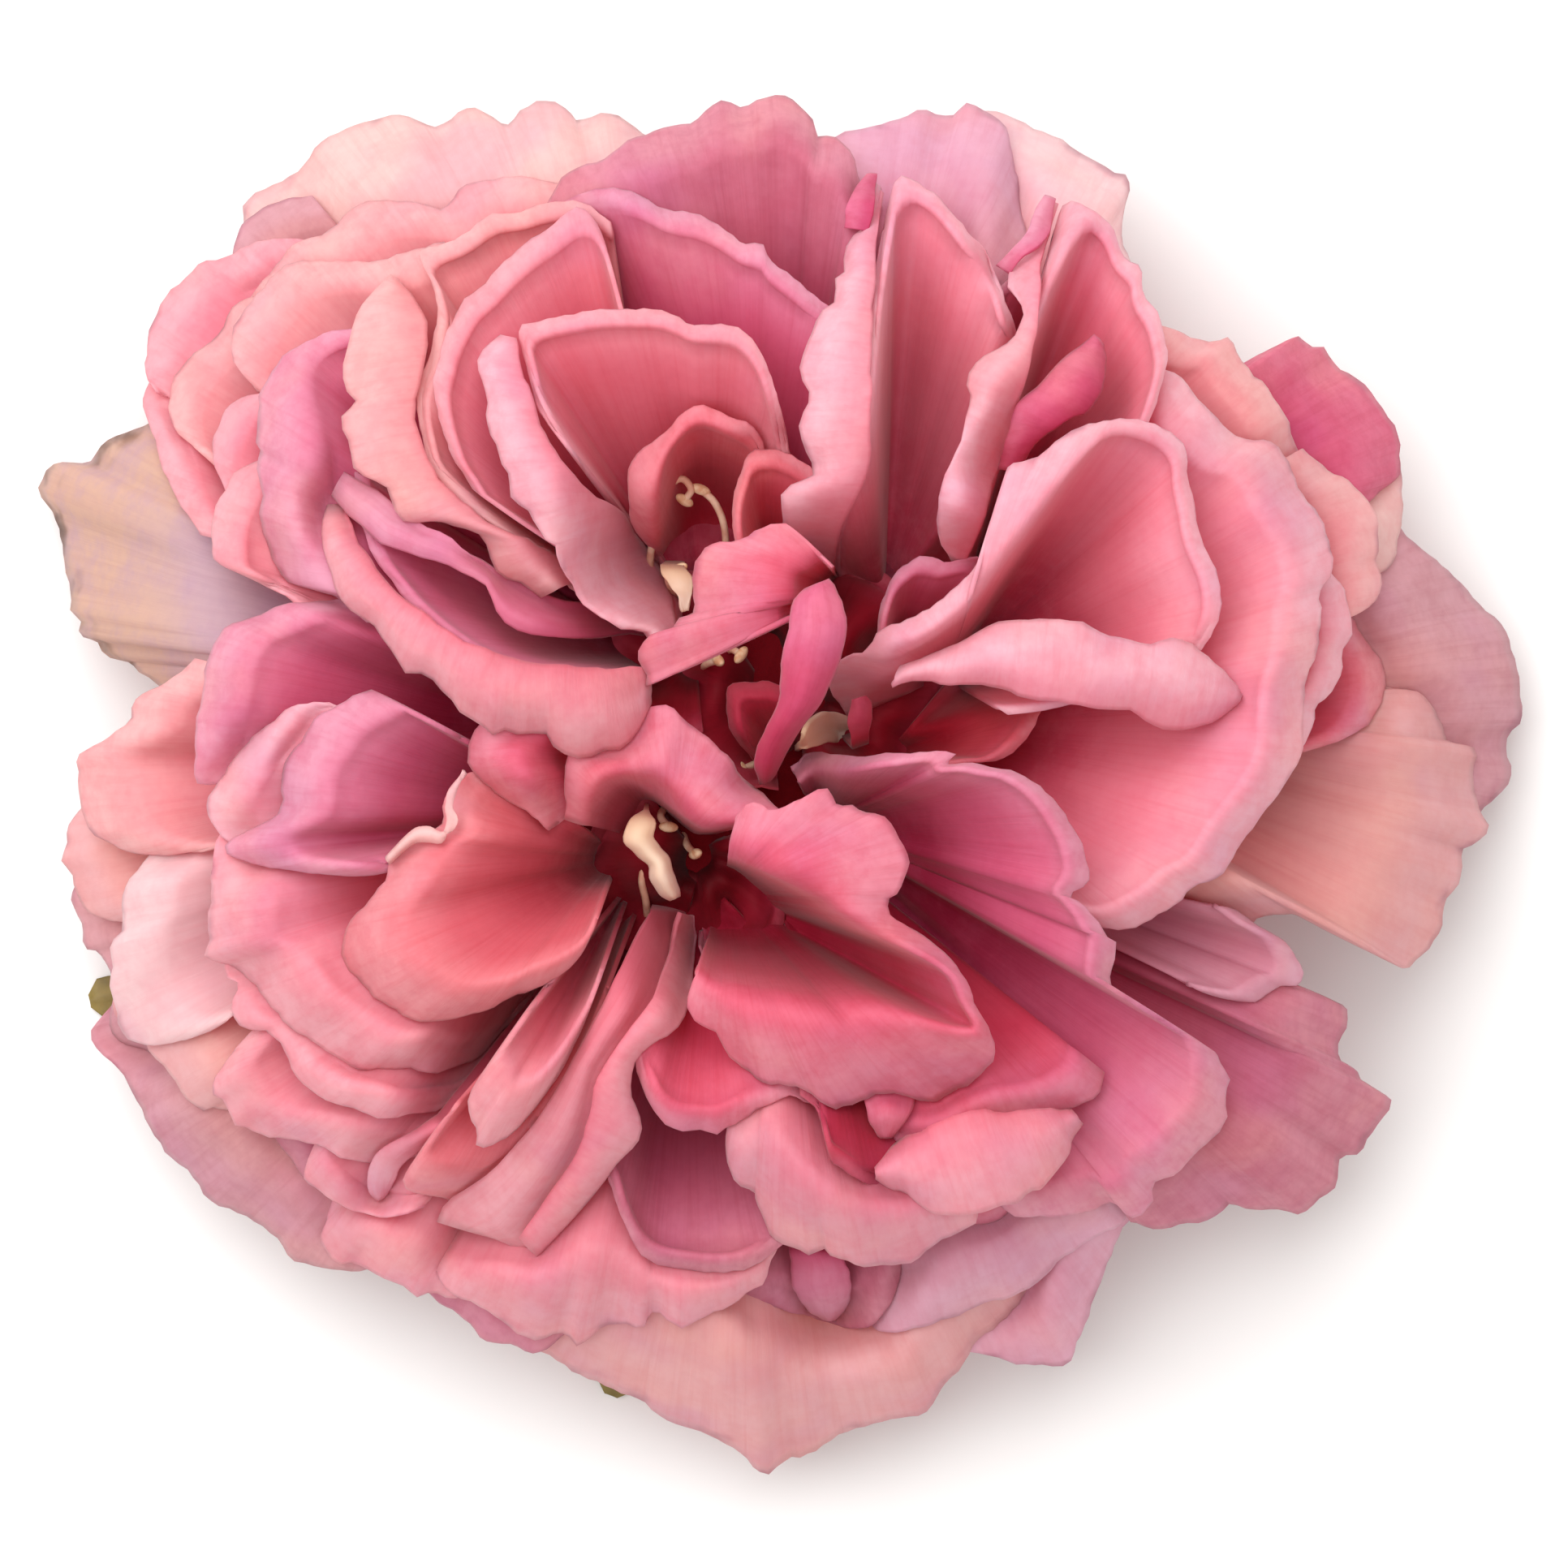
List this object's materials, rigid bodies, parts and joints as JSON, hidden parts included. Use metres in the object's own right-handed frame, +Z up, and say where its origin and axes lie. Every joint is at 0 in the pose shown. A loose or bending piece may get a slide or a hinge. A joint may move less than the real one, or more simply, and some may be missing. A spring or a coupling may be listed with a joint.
{
  "type": "garden rose",
  "caption": "Full-blown double garden rose picked off its stem and lying on its back, with ruffled petals in quarters round a small open middle.",
  "frame": {"origin": "centre of the stem scar under the hip, on the surface that the bloom lies on", "axes": "+Z up out of the bloom, +X to the right and +Y to the top of the picture, which looks straight down"},
  "size_m": [0.1093, 0.1019, 0.0457],
  "materials": {
    "petal": "soft satin",
    "calyx": "matt"
  },
  "bodies": {
    "root": {"petals_and_stamens": "petal", "hip_and_sepals": "calyx"}
  },
  "joints": []
}
